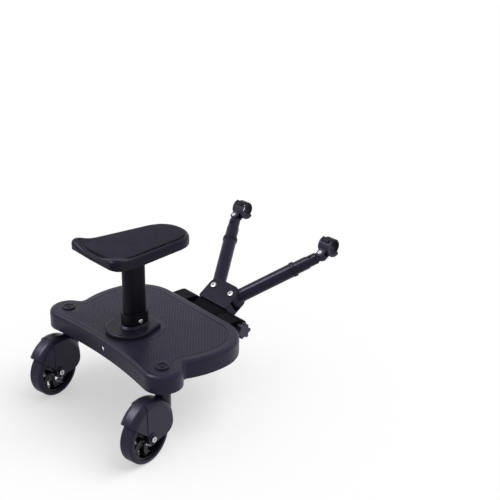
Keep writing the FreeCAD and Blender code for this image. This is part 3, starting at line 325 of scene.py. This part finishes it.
def arc(centre, radius, start, end, steps=24):
    """Points along an arc between two angles in radians."""
    return [centre + Vector((math.cos(a), math.sin(a), 0)) * radius
            for a in (start + (end - start) * i / steps for i in range(steps + 1))]


def heading(a, b):
    """Angle in plan from one point to another."""
    return math.atan2(b.y - a.y, b.x - a.x)


# Repeats

def repeat_tree():
    """Geometry tree: one shape on every point, turned so that its Z lies along an axis."""
    tree = bpy.data.node_groups.new("repeat", "GeometryNodeTree")
    tree.interface.new_socket("Geometry", in_out="INPUT", socket_type="NodeSocketGeometry")
    for label, kind in (("Shape", "Object"), ("Axis", "Vector"), ("Finish", "Material")):
        tree.interface.new_socket(label, in_out="INPUT", socket_type="NodeSocket" + kind)
    tree.interface.new_socket("Geometry", in_out="OUTPUT", socket_type="NodeSocketGeometry")
    links = tree.links
    given = tree.nodes.new("NodeGroupInput")
    done = tree.nodes.new("NodeGroupOutput")
    shape = tree.nodes.new("GeometryNodeObjectInfo")
    turn = add_node(tree, "FunctionNodeAlignRotationToVector", axis="Z")
    stand = tree.nodes.new("GeometryNodeInstanceOnPoints")
    real = tree.nodes.new("GeometryNodeRealizeInstances")
    coat = tree.nodes.new("GeometryNodeSetMaterial")
    links.new(given.outputs["Shape"], shape.inputs["Object"])
    links.new(given.outputs["Axis"], turn.inputs["Vector"])
    links.new(given.outputs["Geometry"], stand.inputs["Points"])
    links.new(shape.outputs["Geometry"], stand.inputs["Instance"])
    links.new(turn.outputs["Rotation"], stand.inputs["Rotation"])
    links.new(stand.outputs["Instances"], real.inputs["Geometry"])
    links.new(real.outputs["Geometry"], coat.inputs["Geometry"])
    links.new(given.outputs["Finish"], coat.inputs["Material"])
    links.new(coat.outputs["Geometry"], done.inputs["Geometry"])
    return tree


REPEAT = repeat_tree()


def copies(name, shape_mesh, places, axis, material):
    """One piece made of copies of a shape standing on places."""
    shape = new_piece("shape", shape_mesh)
    mesh = bpy.data.meshes.new(name)
    mesh.from_pydata(places, [], [])
    piece = new_piece(name, mesh)
    modifier = piece.modifiers.new("repeat", "NODES")
    modifier.node_group = REPEAT
    sockets = {item.name: item.identifier for item in REPEAT.interface.items_tree if item.in_out == "INPUT"}
    modifier[sockets["Shape"]] = shape
    modifier[sockets["Axis"]] = axis
    modifier[sockets["Finish"]] = material
    settle(piece, smooth=False)
    bpy.data.objects.remove(shape)
    return piece


def ring_radius(radius, form, angle):
    """Radius of a ring at an angle: round, a regular hexagon or a cross."""
    if form == "hex":
        half = math.pi / 6
        return radius * math.cos(half) / math.cos(angle % (2 * half) - half)
    if form == "cross":
        along, across = (max(abs(f(angle)), THIN) for f in (math.cos, math.sin))
        arm = radius * CROSS_ARM
        return max(min(radius / along, arm / across), min(radius / across, arm / along))
    return radius


def turned_mesh(name, rings, steps=48):
    """Closed turned shape along Z from rings (radius, height, form)."""
    def fill(work):
        loops = []
        angles = [2 * math.pi * i / steps for i in range(steps)]
        for radius, height, form in rings:
            spokes = [(ring_radius(radius, form, a), a) for a in angles]
            loops.append([work.verts.new((r * math.cos(a), r * math.sin(a), height)) for r, a in spokes])
        for low, high in zip(loops, loops[1:]):
            for i in range(steps):
                work.faces.new((low[i - 1], low[i], high[i], high[i - 1]))
        work.faces.new(loops[0])
        work.faces.new(loops[-1])

    return mesh_from(name, fill)


# Tread

def deck_rim(inset, rear_inset):
    """The deck's plan moved in: rear hollow, lobes, notches, sides, front corners."""
    swivel = Vector(joints["caster_swivel_right"]["pos_m"])
    lobe = Vector((swivel.x, swivel.y, 0))
    lobe_r = deck_high.x - lobe.x
    hollow = (lobe.x ** 2 + REAR_MIDDLE ** 2 - lobe_r ** 2) / (2 * (lobe_r - REAR_MIDDLE))
    rear = Vector((0, lobe.y - REAR_MIDDLE - hollow, 0))
    side = Vector((0, lobe.y + SIDE_AHEAD, 0))
    corner_y = deck_high.y - CORNER_R
    corner = Vector((math.sqrt((SIDE_R - CORNER_R) ** 2 - (corner_y - side.y) ** 2), corner_y, 0))
    span = side - lobe
    near = lobe_r + NOTCH_R
    far = SIDE_R + NOTCH_R
    along = (near ** 2 - far ** 2 + span.length ** 2) / (2 * span.length)
    off = math.sqrt(near ** 2 - along ** 2)
    toward = span.normalized()
    notch = lobe + toward * along + Vector((toward.y, -toward.x, 0)) * off
    to_notch = heading(lobe, notch)
    right = arc(lobe, lobe_r - rear_inset, heading(rear, lobe) - math.pi, to_notch)
    right += arc(notch, NOTCH_R + inset, to_notch + math.pi, heading(notch, side))
    right += arc(side, SIDE_R - inset, heading(side, notch), heading(side, corner))
    right += arc(corner, CORNER_R - inset, heading(side, corner), math.pi / 2)
    left = [Vector((-p.x, p.y, 0)) for p in reversed(right)]
    sweep = heading(rear, lobe)
    back = arc(rear, hollow + rear_inset, math.pi - sweep, sweep)
    return right + left + back[1:-1]


def inside(loop, x, y):
    """Whether a point lies within a closed plan outline."""
    odd = False
    for a, b in zip(loop, loop[1:] + loop[:1]):
        if (a.y > y) != (b.y > y) and x < a.x + (y - a.y) * (b.x - a.x) / (b.y - a.y):
            odd = not odd
    return odd


def stud_places():
    """Diamond lattice over the deck inside its border, clear of the caster caps and the seat base."""
    rim = deck_rim(FIELD_INSET, FIELD_REAR)
    clear = [(post_middle, RING_CLEAR)]
    clear += [(Vector(joints["caster_swivel_" + side]["pos_m"]), CAP_CLEAR) for side in SIDES]
    centre = (deck_low + deck_high) / 2
    across = math.ceil((deck_high.x - centre.x) / STUD_STEP_X)
    along = math.ceil((deck_high.y - centre.y) / STUD_STEP_Y)
    places = []
    for i in range(-across, across + 1):
        for j in range(-along, along + 1):
            x = centre.x + i * STUD_STEP_X
            y = centre.y + j * STUD_STEP_Y
            free = all(math.hypot(x - c.x, y - c.y) > r for c, r in clear)
            if (i + j) % 2 == 0 and free and inside(rim, x, y):
                places.append((x, y, deck_high.z))
    return places


def make_tread():
    stud = turned_mesh("stud", [(STUD_R, 0, "round"), (STUD_TOP_R, STUD_H, "round")], STUD_SIDES)
    studs = copies("tread_studs", stud, stud_places(), UP, FINISHES["deck_plastic"])
    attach(studs, "deck")


# Seat cushion

def make_cushion():
    """Foam cushion: the pad's own form, remeshed, swollen by a short cloth run and kept to its tray."""
    mesh = frame["nodes"]["seat_pad"].data.copy()
    work = bmesh.new()
    work.from_mesh(mesh)
    bmesh.ops.remove_doubles(work, verts=work.verts, dist=PAD_WELD)
    work.to_mesh(mesh)
    work.free()
    mesh.materials.clear()
    pad = new_piece("seat_cushion", mesh, FINISHES["pad_foam"])
    remesh = pad.modifiers.new("remesh", "REMESH")
    remesh.mode = "VOXEL"
    remesh.voxel_size = PAD_VOXEL
    settle(pad)
    swell(pad)
    rounding = pad.modifiers.new("rounding", "SUBSURF")
    rounding.levels = 1
    rounding.render_levels = 1
    settle(pad)
    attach(pad, "deck")
    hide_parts("seat_pad")


def swell(pad):
    """Short pressure run that crowns the top; no point moves far, and none moves down into the tray."""
    rest = [v.co.copy() for v in pad.data.vertices]
    cloth = pad.modifiers.new("cloth", "CLOTH")
    cloth.settings.use_pressure = True
    cloth.settings.uniform_pressure_force = PAD_PRESSURE
    cloth.settings.effector_weights.gravity = 0
    for moment in range(1, PAD_FRAMES + 1):
        scene.frame_set(moment)
    settle(pad)
    scene.frame_set(1)
    for vertex, start in zip(pad.data.vertices, rest):
        rise = min(max(vertex.co.z - start.z, 0.0), PAD_SWELL)
        vertex.co = start + UP * rise


# Fasteners

def bolt_mesh(bolt, head):
    """Bolt along Z with its head standing on z = 0."""
    rings = [(bolt.shank_r, -bolt.length, "round"), (bolt.shank_r, 0, "round")]
    return turned_mesh("bolt", rings + [(bolt.head_r * r, bolt.head_h * h, form) for r, h, form in head])


def axis_along(joint, direction):
    """A joint's axis, pointing to the side of a direction."""
    axis = Vector(joint["axis"])
    return axis if axis.dot(direction) > 0 else -axis


def place_bolts(name, shape_mesh, seats, axis, body, node):
    """Bolts on their seats, as one piece of a body, in place of the plain CAD bolts."""
    bolts = copies(name, shape_mesh, seats, axis, FINISHES["zinc_steel"])
    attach(bolts, body)
    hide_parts(node)


def make_bolts():
    arms = [joints["arm_swing_" + side] for side in SIDES]
    axis = axis_along(arms[0], UP)
    seats = [Vector(arm["pos_m"]) + axis * PIVOT_BOLT.out for arm in arms]
    place_bolts("arm_bolts", bolt_mesh(PIVOT_BOLT, DOMED_HEAD), seats, axis, "bracket", "pivot_bolts")
    for side in SIDES:
        wheel = joints["wheel_spin_" + side]
        axis = axis_along(wheel, RIGHT)
        seat = Vector(wheel["pos_m"]) + axis * AXLE_BOLT.out
        place_bolts("wheel_bolt_" + side, bolt_mesh(AXLE_BOLT, HEX_HEAD), [seat], axis, "caster_" + side,
                    "axle_bolt_" + side)
    seat = Vector((SEAT_BOLT.out, post_middle.y, deck_high.z + SEAT_BOLT_UP))
    place_bolts("post_bolt", bolt_mesh(SEAT_BOLT, DOMED_HEAD), [seat], RIGHT, "deck", "seat_bolt")


# Leaf springs

def make_leaves():
    """Leaf springs that sit between the slide's wall and the snap button: plain copies of the CAD springs, which
    they replace.
    """
    for side in SIDES:
        node = "snap_spring_" + side
        mesh = frame["nodes"][node].data.copy()
        leaf = new_piece("snap_leaf_" + side, mesh)
        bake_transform(leaf)
        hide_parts(node)


# Floor, light and camera

def seen_rays(tree):
    """1 for rays from the camera, from reflections and through clear pieces, 0 for light on the object."""
    rays = add_node(tree, "ShaderNodeLightPath")
    seen = rays.outputs["Is Camera Ray"]
    for kind in ("Is Glossy Ray", "Is Transmission Ray"):
        either = add_node(tree, "ShaderNodeMath", operation="MAXIMUM")
        tree.links.new(seen, either.inputs[0])
        tree.links.new(rays.outputs[kind], either.inputs[1])
        seen = either.outputs[0]
    return seen


def make_floor():
    """White floor that keeps the object's shadow."""
    h = FLOOR_HALF
    mesh = bpy.data.meshes.new("floor")
    mesh.from_pydata([(-h, -h, 0), (h, -h, 0), (h, h, 0), (-h, h, 0)], [], [(0, 1, 2, 3)])
    material = bpy.data.materials.new("floor_white")
    material.use_nodes = True
    tree = material.node_tree
    tree.nodes.remove(tree.nodes["Principled BSDF"])
    diffuse = add_node(tree, "ShaderNodeBsdfDiffuse", Color=(FLOOR_TONE, FLOOR_TONE, FLOOR_TONE, 1.0))
    glow = add_node(tree, "ShaderNodeEmission")
    total = add_node(tree, "ShaderNodeAddShader")
    tree.links.new(stretch(tree, seen_rays(tree), 0.0, FLOOR_LIFT, 0.0, 1.0), glow.inputs["Strength"])
    tree.links.new(diffuse.outputs[0], total.inputs[0])
    tree.links.new(glow.outputs[0], total.inputs[1])
    tree.links.new(total.outputs[0], tree.nodes["Material Output"].inputs["Surface"])
    new_piece("floor", mesh, material)


def make_world():
    """Surroundings that look white and light the object at a plain level."""
    world = bpy.data.worlds.new("studio")
    scene.world = world
    world.use_nodes = True
    tree = world.node_tree
    background = tree.nodes["Background"]
    background.inputs["Color"].default_value = (1.0, 1.0, 1.0, 1.0)
    tree.links.new(stretch(tree, seen_rays(tree), SKY, 1.0, 0.0, 1.0), background.inputs["Strength"])


def aim(thing, place, target):
    """Puts a lamp or camera in the scene, looking at a target."""
    thing.location = place
    thing.rotation_euler = (target - place).to_track_quat("-Z", "Y").to_euler()
    scene.collection.objects.link(thing)


def add_lamp(name, kind, energy, place, target):
    lamp = bpy.data.lights.new(name, kind)
    lamp.energy = energy
    holder = bpy.data.objects.new(name, lamp)
    aim(holder, place, target)
    return holder


def make_light():
    top_light = add_lamp("top_light", "SUN", SUN, SUN_FROM, Vector())
    top_light.data.angle = math.radians(SUN_SPREAD)
    top_light.visible_glossy = False
    softbox = add_lamp("softbox", "AREA", SOFTBOX_WATTS, SOFTBOX_AT, UP * deck_high.z)
    softbox.data.size = SOFTBOX_SIDE
    softbox.visible_diffuse = False


def make_camera():
    lens = bpy.data.cameras.new("camera")
    lens.lens = LENS_MM
    lens.sensor_width = SENSOR_MM
    lens.shift_x = FRAME_SHIFT
    lens.shift_y = FRAME_SHIFT
    camera = bpy.data.objects.new("camera", lens)
    aim(camera, VIEW_FROM, VIEW_AT)
    scene.camera = camera


paint_nodes()
make_tread()
make_cushion()
make_bolts()
make_leaves()
make_floor()
make_world()
make_light()
make_camera()
scene.view_settings.view_transform = "Standard"
